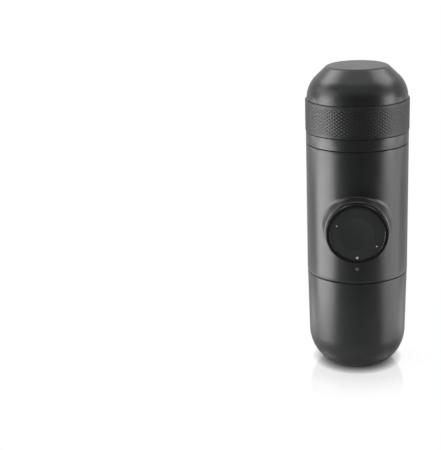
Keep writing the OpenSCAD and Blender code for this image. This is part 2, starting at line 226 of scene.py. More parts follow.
FINISHES = (
    Finish("shell", Slot.SHELL, (0.0175, 0.0183, 0.019), 0.32, Grain.MOULDED),
    Finish("face", Slot.SHELL, (0.026, 0.027, 0.028), 0.45, Grain.MOULDED, grain_depth=0.016 * MM),
    Finish("grip", Slot.SHELL, (0.0165, 0.0172, 0.0178), 0.4, Grain.MOULDED, specular=0.4),
    Finish("gloss", Slot.GLOSS, (0.010, 0.010, 0.011), 0.14, Grain.POLISHED,
           grain_depth=0.0015 * MM, coat=0.5, coat_roughness=0.05),
    Finish("seal", Slot.SEAL, (0.012, 0.012, 0.013), 0.75, Grain.MOULDED, grain_size=0.15 * MM,
           specular=0.35),
    Finish("steel", Slot.STEEL, (0.60, 0.60, 0.61), 0.3, Grain.BRUSHED, grain_size=0.12 * MM,
           grain_depth=0.004 * MM, metallic=1.0, tint=0.06),
    Finish("plating", Slot.PLATING, (0.82, 0.83, 0.85), 0.09, Grain.POLISHED,
           grain_depth=0.0008 * MM, metallic=1.0, tint=0.02),
    Finish("inner", Slot.INNER, (0.050, 0.050, 0.053), 0.55, Grain.MOULDED, grain_size=0.4 * MM),
    Finish("mark", Slot.MARK, (0.62, 0.62, 0.61), 0.5, Grain.MOULDED, grain_size=0.1 * MM,
           tint=0.05),
    Finish("faint_mark", Slot.MARK, (0.11, 0.11, 0.11), 0.5, Grain.MOULDED,
           grain_size=0.1 * MM, tint=0.05),
)
MATERIALS = {finish.name: finish.build() for finish in FINISHES}


# ---------------------------------------------------------------- meshes


HALF_EDGE = 0.49  # share of an edge that the round at one of its ends may take
SAME_POINT = 1e-7  # points closer than this become one
NO_EDGE = 1e-8  # edges shorter than this are dissolved
SEAM = 1e-6  # how exactly the edges of a sheet of nodes meet


@dataclass(frozen=True)
class Corner:
    """A point of a turned profile: radius, height and how far its corner is rounded."""

    radius: float
    height: float
    round_by: float = 0.0


def rounded(corners: list[Corner], steps: int = 6) -> list[tuple[float, float]]:
    """Round the corners of an open or closed profile.

    Args:
        corners: The profile's corners, in order.
        steps: How many pieces each round has.

    Returns:
        Points as (radius, height).
    """
    points: list[tuple[float, float]] = []
    count = len(corners)
    for i, corner in enumerate(corners):
        here = Vector((corner.radius, corner.height))
        if corner.round_by <= 0:
            points.append(tuple(here))
            continue
        before, after = corners[i - 1], corners[(i + 1) % count]
        to_last = Vector((before.radius, before.height)) - here
        to_next = Vector((after.radius, after.height)) - here
        reach = min(corner.round_by, HALF_EDGE * to_last.length, HALF_EDGE * to_next.length)
        start, end = here + to_last.normalized() * reach, here + to_next.normalized() * reach
        for k in range(steps + 1):
            t = k / steps
            points.append(tuple(start * (1 - t) ** 2 + here * 2 * t * (1 - t) + end * t ** 2))
    return points


def new_piece(name: str, verts: np.ndarray, faces: list[tuple[int, ...]]) -> bpy.types.Object:
    """Make a closed piece from vertices and faces, with its doubles merged and its faces outward.

    Args:
        name: The piece's name.
        verts: Points, one row each.
        faces: Indices of each face's points.

    Returns:
        The new object, at the origin.
    """
    mesh = bpy.data.meshes.new(name)
    mesh.from_pydata(np.asarray(verts, float).tolist(), [], faces)
    made = bmesh.new()
    made.from_mesh(mesh)
    bmesh.ops.remove_doubles(made, verts=made.verts, dist=SAME_POINT)
    bmesh.ops.dissolve_degenerate(made, edges=made.edges, dist=NO_EDGE)
    bmesh.ops.recalc_face_normals(made, faces=made.faces)
    made.to_mesh(mesh)
    made.free()
    piece = bpy.data.objects.new(name, mesh)
    bpy.context.scene.collection.objects.link(piece)
    return piece


def smooth(piece: bpy.types.Object, sharp_from: float = 32.0) -> bpy.types.Object:
    """Shade a piece smooth, but for its sharp edges.

    Args:
        piece: The piece.
        sharp_from: Angle in degrees from which an edge stays sharp.

    Returns:
        The same piece.
    """
    piece.data.shade_smooth()
    piece.data.set_sharp_from_angle(angle=math.radians(sharp_from))
    return piece


def dress(piece: bpy.types.Object, slot: Slot, body: Body, *nodes: str,
          finish: str = "") -> None:
    """Give a piece its finish and its body, and let it stand for solids.

    Args:
        piece: The finished piece.
        slot: Its material slot.
        body: The body that it rides on.
        nodes: The solids that it replaces.
        finish: Name of its finish, if that isn't the slot's plain one.
    """
    piece.data.materials.clear()
    piece.data.materials.append(MATERIALS[finish or slot.value])
    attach(piece, body.value)
    if nodes:
        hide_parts(*nodes)
    LOG.info("%s: %d faces, on %s", piece.name, len(piece.data.polygons), body.value)


def ring_strip(rings: list[np.ndarray],
               closed: bool = False) -> tuple[np.ndarray, list[list[int]]]:
    """Join rings of equally many points into one strip of quads.

    Args:
        rings: The rings, each an array of points in the same order.
        closed: Whether the last ring is joined to the first.

    Returns:
        The points and the faces.
    """
    count = len(rings[0])
    around = np.arange(count)
    onward = (around + 1) % count
    faces = []
    for k in range(len(rings) if closed else len(rings) - 1):
        low, high = k * count, ((k + 1) % len(rings)) * count
        faces += np.column_stack(
            [low + around, low + onward, high + onward, high + around]).tolist()
    return np.vstack(rings), faces


def turned(name: str, corners: list[Corner], segments: int = 192, steps: int = 6,
           about: Matrix | None = None) -> bpy.types.Object:
    """Turn a closed profile about Z into a solid.

    Args:
        name: The piece's name.
        corners: The closed profile.
        segments: Steps around.
        steps: Pieces of each rounded corner.
        about: Where the solid is moved to, if not on the Z axis.

    Returns:
        The new piece.
    """
    angles = np.arange(segments) * 2 * math.pi / segments
    rings = [np.column_stack([r * np.cos(angles), r * np.sin(angles), np.full(segments, z)])
             for r, z in rounded(corners, steps)]
    piece = new_piece(name, *ring_strip(rings, closed=True))
    if about is not None:
        piece.data.transform(about)
    return smooth(piece)


def sector(name: str, corners: list[Corner], middle: float, half: float,
           steps: int = 16) -> bpy.types.Object:
    """Turn a closed profile through part of a turn, with flat ends.

    Args:
        name: The piece's name.
        corners: The closed profile.
        middle: Angle of the middle, in degrees.
        half: Half the angle covered, in degrees.
        steps: Steps along the sector.

    Returns:
        The new piece.
    """
    points = rounded(corners, steps=4)
    angles = np.radians(np.linspace(middle - half, middle + half, steps + 1))
    verts = [(r * math.cos(a), r * math.sin(a), z) for a in angles for r, z in points]
    count = len(points)
    faces = [(k * count + i, k * count + (i + 1) % count, (k + 1) * count + (i + 1) % count,
              (k + 1) * count + i) for k in range(steps) for i in range(count)]
    faces += [tuple(range(count)), tuple(steps * count + i for i in range(count))]
    return smooth(new_piece(name, np.array(verts), faces))


def joined(name: str, pieces: list[bpy.types.Object]) -> bpy.types.Object:
    """Join pieces into one object, without merging their surfaces.

    Args:
        name: The new object's name.
        pieces: The pieces, which end here.

    Returns:
        The joined object.
    """
    first = pieces[0]
    with bpy.context.temp_override(active_object=first, selected_editable_objects=pieces):
        bpy.ops.object.join()
    first.name = name
    first.data.name = name
    return first


# ---------------------------------------------------------------- node trees


NodeValue = bpy.types.NodeSocket | float | bool | tuple[float, ...]


class NodeTree:
    """A Geometry Nodes tree that makes one repeated or rule-made form."""

    def __init__(self, name: str, **inputs: float) -> None:
        """Start a tree with named number inputs.

        Args:
            name: The tree's name.
            inputs: Each input's name and its value; whole numbers become integer inputs.
        """
        self.tree = bpy.data.node_groups.new(name, "GeometryNodeTree")
        self.values = inputs
        for key, value in inputs.items():
            kind = "NodeSocketInt" if isinstance(value, int) else "NodeSocketFloat"
            self.tree.interface.new_socket(key, in_out="INPUT", socket_type=kind)
        self.tree.interface.new_socket("Geometry", in_out="OUTPUT",
                                       socket_type="NodeSocketGeometry")
        self.entry = self.tree.nodes.new("NodeGroupInput")

    def socket(self, name: str) -> bpy.types.NodeSocket:
        """The named input's socket inside the tree."""
        return self.entry.outputs[name]

    def node(self, kind: str, out: int | str = 0,
             **inputs: NodeValue) -> bpy.types.NodeSocket:
        """Add a node and connect its inputs.

        Args:
            kind: The node's type.
            out: Which output is returned.
            inputs: Sockets or values, keyed by the input's name with _ for a space.

        Returns:
            The node's output socket.
        """
        made = self.tree.nodes.new(kind)
        for key, value in inputs.items():
            self._feed(made.inputs[key.replace("_", " ")], value)
        return made.outputs[out]

    def math(self, operation: str, *values: NodeValue) -> bpy.types.NodeSocket:
        """Add a math node.

        Args:
            operation: What it works out.
            values: Numbers or sockets that it works on.

        Returns:
            Its result.
        """
        made = self.tree.nodes.new("ShaderNodeMath")
        made.operation = operation
        for socket, value in zip(made.inputs, values):
            self._feed(socket, value)
        return made.outputs[0]

    def join(self, parts: list[bpy.types.NodeSocket]) -> bpy.types.NodeSocket:
        """Add a node that joins geometries.

        Args:
            parts: The geometries.

        Returns:
            The joined geometry.
        """
        made = self.tree.nodes.new("GeometryNodeJoinGeometry")
        for part in parts:
            self.tree.links.new(part, made.inputs[0])
        return made.outputs[0]

    def _feed(self, socket: bpy.types.NodeSocket, value: NodeValue) -> None:
        """Give a socket its value.

        Args:
            socket: An input of a node.
            value: The socket that it is linked to, or the value that it is set to.
        """
        if isinstance(value, bpy.types.NodeSocket):
            self.tree.links.new(value, socket)
        else:
            socket.default_value = value

    def finish(self, geometry: bpy.types.NodeSocket, name: str, slot: Slot) -> bpy.types.Object:
        """End the tree with real geometry in a finish, and make it a plain mesh.

        Args:
            geometry: The geometry to end with.
            name: The new piece's name.
            slot: The finish that the tree sets.

        Returns:
            The piece, with no modifier left on it.
        """
        real = self.node("GeometryNodeRealizeInstances", Geometry=geometry)
        set_material = self.tree.nodes.new("GeometryNodeSetMaterial")
        set_material.inputs["Material"].default_value = MATERIALS[slot.value]
        self.tree.links.new(real, set_material.inputs["Geometry"])
        leave = self.tree.nodes.new("NodeGroupOutput")
        self.tree.links.new(set_material.outputs[0], leave.inputs["Geometry"])
        carrier = bpy.data.objects.new(name, bpy.data.meshes.new(name + "_seed"))
        bpy.context.scene.collection.objects.link(carrier)
        modifier = carrier.modifiers.new("form", "NODES")
        modifier.node_group = self.tree
        for item in self.tree.interface.items_tree:
            if item.in_out == "INPUT":
                modifier[item.identifier] = self.values[item.name]
        graph = bpy.context.evaluated_depsgraph_get()
        mesh = bpy.data.meshes.new_from_object(carrier.evaluated_get(graph), depsgraph=graph)
        carrier.modifiers.remove(modifier)
        carrier.data = mesh
        mesh.name = name
        return carrier


@dataclass(frozen=True)
class Thread:
    """A right-handed screw thread on a round wall, with one ridge for each start.

    The offset is from the wall to the ridges' middle, and the start is from the end of the wall
    to the lower end of the ridges.
    """

    offset: float
    start: float
    rise: float
    half_width: float
    steps: int = 96
    sides: int = 10

    def build(self, name: str, slot: Slot, wall: float, end: float) -> bpy.types.Object:
        """Make the ridges as tubes along spirals.

        Args:
            name: The piece's name.
            slot: Its finish.
            wall: The wall's radius.
            end: Height of the wall's end.

        Returns:
            The new piece.
        """
        form = NodeTree(name + "_form", Radius=wall + self.offset, Low=end + self.start,
                        Rise=self.rise, Lead=SCREW_LEAD, Depth=self.half_width)
        turns = form.math("DIVIDE", form.socket("Rise"), form.socket("Lead"))
        line = form.node("GeometryNodeCurveSpiral", Resolution=self.steps, Rotations=turns,
                         Start_Radius=form.socket("Radius"), End_Radius=form.socket("Radius"),
                         Height=form.socket("Rise"), Reverse=True)
        section = form.node("GeometryNodeCurvePrimitiveCircle", Resolution=self.sides,
                            Radius=form.socket("Depth"))
        tube = form.node("GeometryNodeCurveToMesh", Curve=line, Profile_Curve=section,
                         Fill_Caps=True)
        lift = form.node("ShaderNodeCombineXYZ", Z=form.socket("Low"))
        ridges = [form.node("GeometryNodeTransform", Geometry=tube, Translation=lift,
                            Rotation=(0.0, 0.0, number * 2 * math.pi / SCREW_STARTS))
                  for number in range(SCREW_STARTS)]
        return smooth(form.finish(form.join(ridges), name, slot), sharp_from=60)


# ---------------------------------------------------------------- sub-assemblies


def top_of(node: str) -> float:
    """Highest point of a solid."""
    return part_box(node)[1].z


def bottom_of(node: str) -> float:
    """Lowest point of a solid."""
    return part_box(node)[0].z


def radius_of(node: str) -> float:
    """Largest radius of a solid that is turned about Z."""
    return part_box(node)[1].x


@dataclass
class Tank:
    """Water tank: rounded foot, slight taper, rebate at its seam and the thread inside."""

    wall: float = 2.5 * MM
    foot_flat: float = 14.0 * MM
    foot_inside: float = 13.0 * MM
    foot_height: float = 19.5 * MM
    taper: float = 0.75 * MM
    roundness: float = 1.06
    lip_bevel: float = 0.35 * MM
    rebate_width: float = 0.9 * MM
    rebate_depth: float = 1.05 * MM
    bore_gap: float = 0.1 * MM
    bore_depth: float = 9.0 * MM
    screw: Thread = Thread(0.15 * MM, -5.6 * MM, 4.5 * MM, 0.5 * MM)
    segments: int = 224

    def foot(self, inner: float, outer: float, low: float, steps: int = 28) -> list[Corner]:
        """Points of the rounded foot.

        Args:
            inner: Radius of the flat.
            outer: Radius where the wall begins.
            low: Height of the flat.
            steps: Pieces along the curve.

        Returns:
            Corners from the flat to the wall.
        """
        turn = np.linspace(0, math.pi / 2, steps + 1)
        radii = inner + (outer - inner) * np.sin(turn) ** self.roundness
        heights = low + (self.foot_height - low) * (
            1 - np.maximum(np.cos(turn), 0) ** self.roundness)
        return [Corner(r, z) for r, z in zip(radii, heights)]

    def build(self) -> None:
        """Make the shell and its inner thread."""
        high, outer = top_of("tank_shell"), radius_of("tank_shell")
        wall_foot = outer - self.taper
        ledge, lip = high - self.rebate_depth, outer - self.rebate_width
        bore = outer - self.wall - self.bore_gap
        corners = [
            Corner(0, 0), *self.foot(self.foot_flat, wall_foot, 0),
            Corner(outer, high - SOFT, 2 * SOFT), Corner(outer - self.lip_bevel, high, CRISP),
            Corner(lip, high), Corner(lip, ledge), Corner(bore, ledge, SOFT),
            Corner(bore, high - self.bore_depth),
            *self.foot(self.foot_inside, wall_foot - self.wall, self.wall)[::-1],
            Corner(0, self.wall)]
        shell = turned("tank_shell_skin", corners, self.segments)
        dress(shell, Slot.SHELL, Body.TANK, "tank_shell")
        ridges = self.screw.build("tank_thread", Slot.SHELL, bore, ledge)
        dress(ridges, Slot.SHELL, Body.TANK)


@dataclass
class PumpBody:
    """Pump body: a tube with a round boss, blended by a fillet that widens at its sides."""

    wall: float = 2.5 * MM
    boss_radius: float = 18.0 * MM
    boss_draft: float = 0.05 * MM
    fillet_side: float = 7.0 * MM
    fillet_end: float = 1.0 * MM
    fit: float = 0.05 * MM
    rebate_width: float = 1.0 * MM
    rebate_depth: float = 1.5 * MM
    lip_round: tuple[tuple[float, float], ...] = (
        (0.0, 0.5 * MM), (0.06 * MM, 0.2 * MM), (0.2 * MM, 0.06 * MM), (0.4 * MM, 0.0))
    rim_share: float = 0.1
    bezel_hole: float = 10.4 * MM
    bezel_land: float = 1.1 * MM
    bezel_step: float = 0.5 * MM
    bezel_lead: float = 0.9 * MM
    spigot_inset: float = 2.95 * MM
    spigot_screw: Thread = Thread(-0.1 * MM, 1.2 * MM, 4.5 * MM, 0.45 * MM)
    socket_wall: float = 1.65 * MM
    socket_screw: Thread = Thread(0.0, 4.2 * MM, 3.75 * MM, 0.4 * MM)
    columns: int = 192
    window_columns: int = 32
    window_height: float = 26.0 * MM
    window_rows: int = 52
    rows_below: int = 4
    rows_above: int = 10
    rings_outside: int = 14
    rings_inside: int = 10
    crowding: float = 1.15
    fillet_steps: int = 12
    search_reach: float = 1.2
    search_points: int = 600
    halvings: int = 50

    def __post_init__(self) -> None:
        """Take the levels from the solids."""
        self.radius = radius_of("body_shell")
        self.low, self.high = bottom_of("body_shell"), top_of("body_shell")
        self.face = -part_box("body_shell")[0].y
        cap_low, cap_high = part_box("button_cap")
        self.axis = (cap_low.z + cap_high.z) / 2
        self.pocket = radius_of("bezel_ring") + self.fit
        self.floor = -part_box("bezel_ring")[1].y
        self.bore = radius_of("piston_housing") + self.fit
        self.inner = self.radius - self.wall

    def window(self, radius: float) -> tuple[np.ndarray, np.ndarray]:
        """The rectangle around the boss, unrolled.

        Args:
            radius: Radius of the skin that it lies on; not used.

        Returns:
            The angle about Z from -Y, and the height from the piston's axis, of each point
            around the rectangle.
        """
        step = 2 * math.pi / self.columns
        half = self.window_columns
        across = np.arange(-half, half) * step
        up = np.linspace(-self.window_height, self.window_height, self.window_rows + 1)
        high = np.full(2 * half, self.window_height)
        side = np.full(self.window_rows, half * step)
        angle = np.concatenate([across, side, -across, -side])
        height = np.concatenate([-high, up[:-1], high, up[:0:-1]])
        return angle, height

    def rays(self) -> np.ndarray:
        """Angles about the piston's axis at which the rings have their points."""
        angle, height = self.window(self.radius)
        return np.arctan2(height, angle * self.radius)

    def fillet(self, ray: float) -> list[tuple[float, float]]:
        """Arc that joins the boss's side to the body, in the plane of one ray.

        The arc's centre is found by halving: it goes down until the arc touches the body.

        Args:
            ray: Angle about the piston's axis, 0 towards +X.

        Returns:
            Points as (radius from the piston's axis, distance from the body's axis), from the
            boss down to the body.
        """
        side = math.cos(ray) ** 2
        size = self.fillet_end + (self.fillet_side - self.fillet_end) * side
        centre = self.boss_radius + size
        reach = np.linspace(self.boss_radius, self.boss_radius + size * self.search_reach,
                            self.search_points)
        depth = np.sqrt(np.maximum(self.radius ** 2 - (reach * math.cos(ray)) ** 2, 0))
        low, high = depth.min() - size, self.face + size
        for _ in range(self.halvings):
            middle = (low + high) / 2
            gap = np.hypot(reach - centre, depth - middle).min() - size
            low, high = (low, middle) if gap > 0 else (middle, high)
        touch = int(np.hypot(reach - centre, depth - high).argmin())
        end = math.atan2(depth[touch] - high, reach[touch] - centre)
        turn = np.linspace(math.pi, end + 2 * math.pi, self.fillet_steps + 1)
        return [(centre + size * math.cos(t), high + size * math.sin(t)) for t in turn]

    def on_ray(self, rays: np.ndarray, radii: np.ndarray, depths: np.ndarray) -> np.ndarray:
        """Points at a radius and a distance along the piston's axis, one for each ray."""
        return np.column_stack([radii * np.cos(rays), -depths + 0 * rays,
                                self.axis + radii * np.sin(rays)])

    def to_window(self, start: np.ndarray, radius: float, steps: int) -> list[np.ndarray]:
        """Rings on a tube about Z, from a ring around the boss to the rectangle.

        Args:
            start: The ring's points, on the tube.
            radius: The tube's radius.
            steps: How many rings follow.

        Returns:
            The rings after the first, the rectangle last.
        """
        angle, height = self.window(radius)
        first = np.arctan2(start[:, 0], -start[:, 1])
        rise = start[:, 2] - self.axis
        rings = []
        for k in range(1, steps + 1):
            t = (k / steps) ** self.crowding
            a, h = first + (angle - first) * t, rise + (height - rise) * t
            rings.append(np.column_stack(
                [radius * np.sin(a), -radius * np.cos(a), self.axis + h]))
        return rings

    def tube(self, radius: float, low: float,
             high: float) -> tuple[np.ndarray, list[list[int]]]:
        """A tube about Z with the rectangle left open.

        Args:
            radius: The tube's radius.
            low: Its lower end.
            high: Its upper end.

        Returns:
            The points and the faces.
        """
        step = 2 * math.pi / self.columns
        angle = np.arange(self.columns) * step
        inside = np.linspace(-self.window_height, self.window_height, self.window_rows + 1)
        below = np.linspace(low, self.axis - self.window_height, self.rows_below + 1)[:-1]
        above = np.linspace(self.axis + self.window_height, high, self.rows_above + 1)[1:]
        levels = np.concatenate([below, self.axis + inside, above])
        rings = [np.column_stack([radius * np.sin(angle), -radius * np.cos(angle),
                                  np.full(self.columns, z)]) for z in levels]
        verts, faces = ring_strip(rings)
        half, count = self.window_columns, self.columns
        first, last = len(below), len(below) + self.window_rows
        kept = [f for f in faces if not (
            first <= f[0] // count < last
            and (f[0] % count < half or f[0] % count >= count - half))]
        return verts, kept

    def edge(self, path: list[tuple[float, float]]) -> tuple[np.ndarray, list[list[int]]]:
        """A strip around Z along a path, on the tube's columns.

        Args:
            path: Points as (radius, height).

        Returns:
            The points and the faces.
        """
        angle = np.arange(self.columns) * 2 * math.pi / self.columns
        return ring_strip([np.column_stack(
            [r * np.sin(angle), -r * np.cos(angle), np.full(self.columns, z)])
            for r, z in path])

    def lip(self, end: float, inward: int) -> list[tuple[float, float]]:
        """The round of the tube's outer edge, as (radius, height), from its side to its end."""
        return [(self.radius - across, end + inward * along) for across, along in self.lip_round]

    def skin(self) -> bpy.types.Object:
        """Make the shell as one closed skin, with its boss, pocket and bore.

        Returns:
            The new piece.
        """
        rays = self.rays()
        arcs = np.array([self.fillet(ray) for ray in rays])
        blend = [self.on_ray(rays, arcs[:, k, 0], arcs[:, k, 1]) for k in range(arcs.shape[1])]
        outside = self.to_window(blend[-1], self.radius, self.rings_outside)
        lip = self.boss_radius - self.boss_draft
        bevel = lip - self.pocket
        rim = self.rim_share * bevel
        face_path = [(lip, self.face - bevel), (self.pocket + rim, self.face),
                     (self.pocket, self.face - rim), (self.pocket, self.floor),
                     (self.bore, self.floor)]
        into = [self.on_ray(rays, np.full(len(rays), r), np.full(len(rays), d))
                for r, d in face_path]
        hole = np.sqrt(self.inner ** 2 - (self.bore * np.cos(rays)) ** 2)
        into.append(self.on_ray(rays, np.full(len(rays), self.bore), hole))
        inside = self.to_window(into[-1], self.inner, self.rings_inside)
        ledge, rebate = self.low + self.rebate_depth, self.radius - self.rebate_width
        lip_height = self.lip_round[0][1]
        parts = [
            ring_strip(outside[::-1] + blend[::-1] + into + inside),
            self.tube(self.radius, self.low + lip_height, self.high - lip_height),
            self.tube(self.inner, ledge, self.high),
            self.edge([(self.inner, ledge), (rebate, ledge), (rebate, self.low),
                       *self.lip(self.low, 1)[::-1]]),
            self.edge([*self.lip(self.high, -1), (self.inner, self.high)])]
        verts, faces, base = [], [], 0
        for points, quads in parts:
            verts.append(points)
            faces += [[i + base for i in quad] for quad in quads]
            base += len(points)
        shell = new_piece("body_shell_skin", np.vstack(verts), faces)
        return smooth(shell, sharp_from=35)

    def build(self) -> None:
        """Make the shell, its bezel, the mark below the boss and the threads."""
        dress(self.skin(), Slot.SHELL, Body.MAIN, "body_shell")
        self.bezel()
        self.mark()
        for name, screw, node, inset in (
                ("spigot_thread", self.spigot_screw, "base_plate", self.spigot_inset),
                ("socket_thread", self.socket_screw, "head_socket", self.socket_wall)):
            ridges = screw.build(name, Slot.INNER, radius_of(node) - inset, bottom_of(node))
            dress(ridges, Slot.INNER, Body.MAIN)

    def bezel(self) -> None:
        """Make the black ring that closes the boss around the sleeve."""
        outer, hole = radius_of("bezel_ring"), self.bezel_hole
        high = -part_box("bezel_ring")[0].y
        land, sunk = outer - self.bezel_land, high - self.bezel_step
        corners = [Corner(hole, self.floor), Corner(outer, self.floor), Corner(outer, high),
                   Corner(land, high, CRISP), Corner(land - self.bezel_step, sunk, CRISP),
                   Corner(hole + self.bezel_lead, sunk, SOFT),
                   Corner(hole, high - self.bezel_lead, CRISP)]
        ring = turned("bezel_ring_skin", corners, segments=160, about=self.to_piston())
        dress(ring, Slot.GLOSS, Body.MAIN, "bezel_ring")

    def mark(self) -> None:
        """Make the round pip that the button's dot points at."""
        low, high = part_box("mark_pip")
        reach = (high.x - low.x) / 2
        corners = [Corner(0, 0), Corner(reach, 0), Corner(reach, high.y - low.y, HAIR),
                   Corner(0, high.y - low.y)]
        place = Matrix.Translation((0, high.y, (low.z + high.z) / 2)) @ Matrix.Rotation(
            math.pi / 2, 4, "X")
        pip = turned("mark_pip_skin", corners, segments=48, about=place)
        dress(pip, Slot.MARK, Body.MAIN, "mark_pip", finish="faint_mark")

    def to_piston(self) -> Matrix:
        """Move that lays a piece turned about Z along the piston's axis."""
        return Matrix.Translation((0, 0, self.axis)) @ Matrix.Rotation(math.pi / 2, 4, "X")


@dataclass
class PushButton:
    """Push button: matt flange, glossy ring, dished face with its dots, plated sleeve."""

    body: PumpBody
    rim_round: float = 0.35 * MM
    neck_inset: float = 0.7 * MM
    groove: float = 0.5 * MM
    ring_width: float = 2.0 * MM
    face_gap: float = 0.05 * MM
    dish_radius: float = 9.2 * MM
    dish_depth: float = 0.85 * MM
    dish_edge: float = 0.8 * MM
    dish_points: int = 16
    sleeve_wall: float = 1.4 * MM
    lug_height: float = 1.8 * MM
    lug_half: float = 15.0
    dot_proud: float = 0.03 * MM
    dot_sunk: float = 0.1 * MM
    dot_round: float = 0.02 * MM
    dots: tuple[tuple[float, float, float], ...] = (
        (-90.0, 13.6 * MM, 0.72 * MM), (157.0, 12.1 * MM, 0.4 * MM), (-33.0, 12.6 * MM, 0.4 * MM))

    def __post_init__(self) -> None:
        """Take the levels from the solids."""
        self.place = self.body.to_piston()
        self.radius = radius_of("button_cap")
        self.cap_low, self.cap_high = -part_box("button_cap")[1].y, -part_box("button_cap")[0].y
        self.face_high = -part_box("button_face")[0].y
        self.ring_high = -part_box("button_rim")[0].y

    def build(self) -> None:
        """Make each layer and the sleeve."""
        self.flange()
        self.ring()
        self.face()
        self.marks()
        self.sleeve()

    def flange(self) -> None:
        """The matt lower layer that carries the ring."""
        r, low, high = self.radius, self.cap_low, self.cap_high
        corners = [Corner(0, low), Corner(r, low, self.rim_round), Corner(r, high, SOFT),
                   Corner(r - self.neck_inset, high), Corner(0, high)]
        flange = turned("button_flange", corners, about=self.place)
        dress(flange, Slot.SHELL, Body.BUTTON, "button_cap")

    def ring(self) -> None:
        """The glossy ring, over a thin dark groove."""
        r, low, high = self.radius, self.cap_high, self.ring_high
        inner, neck, under = r - self.ring_width, r - self.neck_inset, low + self.groove
        corners = [Corner(inner, low), Corner(neck, low), Corner(neck, under),
                   Corner(r, under, SOFT), Corner(r, high, CRISP),
                   Corner(inner, high, self.rim_round)]
        ring = turned("button_gloss_ring", corners, segments=224, about=self.place)
        dress(ring, Slot.GLOSS, Body.BUTTON, "button_rim")

    def face(self) -> None:
        """The matt face with its shallow dish."""
        edge = self.radius - self.ring_width - self.face_gap
        low, high = self.cap_high, self.face_high
        ball = (self.dish_radius ** 2 + self.dish_depth ** 2) / (2 * self.dish_depth)
        reach = math.asin(self.dish_radius / ball)
        dish = [Corner(ball * math.sin(a), high - self.dish_depth + ball * (1 - math.cos(a)))
                for a in np.linspace(reach, 0, self.dish_points)]
        dish[0] = Corner(dish[0].radius, dish[0].height, self.dish_edge)
        corners = [Corner(0, low), Corner(edge, low), Corner(edge, high, CRISP), *dish]
        face = turned("button_face_skin", corners, about=self.place)
        dress(face, Slot.SHELL, Body.BUTTON, "button_face", finish="face")

    def marks(self) -> None:
        """The plain printed dots: a large one towards the pip, two small ones."""
        proud, sunk = self.dot_proud, self.dot_sunk
        made = []
        for number, (turn, reach, size) in enumerate(self.dots):
            corners = [Corner(0, -sunk), Corner(size, -sunk),
                       Corner(size, proud, self.dot_round), Corner(0, proud)]
            at = Matrix.Translation((reach * math.cos(math.radians(turn)),
                                     reach * math.sin(math.radians(turn)), self.face_high))
            made.append(turned(f"dot_{number}", corners, segments=40, about=self.place @ at))
        dress(joined("button_dots", made), Slot.MARK, Body.BUTTON)

    def sleeve(self) -> None:
        """The plated sleeve and its two lugs."""
        low, high = -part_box("piston_sleeve")[1].y, -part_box("piston_sleeve")[0].y
        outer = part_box("piston_sleeve")[1].z - self.body.axis
        bore = outer - self.sleeve_wall
        corners = [Corner(bore, low), Corner(outer, low, SOFT), Corner(outer, high),
                   Corner(bore, high)]
        tube = turned("sleeve_tube", corners, segments=160, about=self.place)
        lug, root = radius_of("piston_sleeve"), outer - SOFT
        lug_low = low + HAIR
        lug_high = lug_low + self.lug_height
        shape = [Corner(root, lug_low), Corner(lug, lug_low, CRISP),
                 Corner(lug, lug_high, CRISP), Corner(root, lug_high)]
        lugs = []
        for number, middle in enumerate((0.0, 180.0)):
            made = sector(f"sleeve_lug_{number}", shape, middle, self.lug_half)
            made.data.transform(self.place)
            lugs.append(made)
        dress(joined("piston_sleeve_skin", [tube, *lugs]), Slot.PLATING, Body.BUTTON,
              "piston_sleeve")


DOME_STEEP, DOME_SHALLOW = math.radians(6.77), math.radians(45.9)  # ends of the domes' arcs
CONE_SLOPE = math.tan(DOME_SHALLOW)


def dome_line(centre: float, middle: float, radius: float, steps: int = 24) -> list[Corner]:
    """Arc of the dome, from its steep wall to its straight cone.

    Args:
        centre: Distance of the arc's centre from the axis.
        middle: Height of the arc's centre.
        radius: The arc's radius.
        steps: Pieces along the arc.

    Returns:
        Corners from the wall up to the cone.
    """
    return [Corner(centre + radius * math.cos(a), middle + radius * math.sin(a))
            for a in np.linspace(DOME_STEEP, DOME_SHALLOW, steps + 1)]


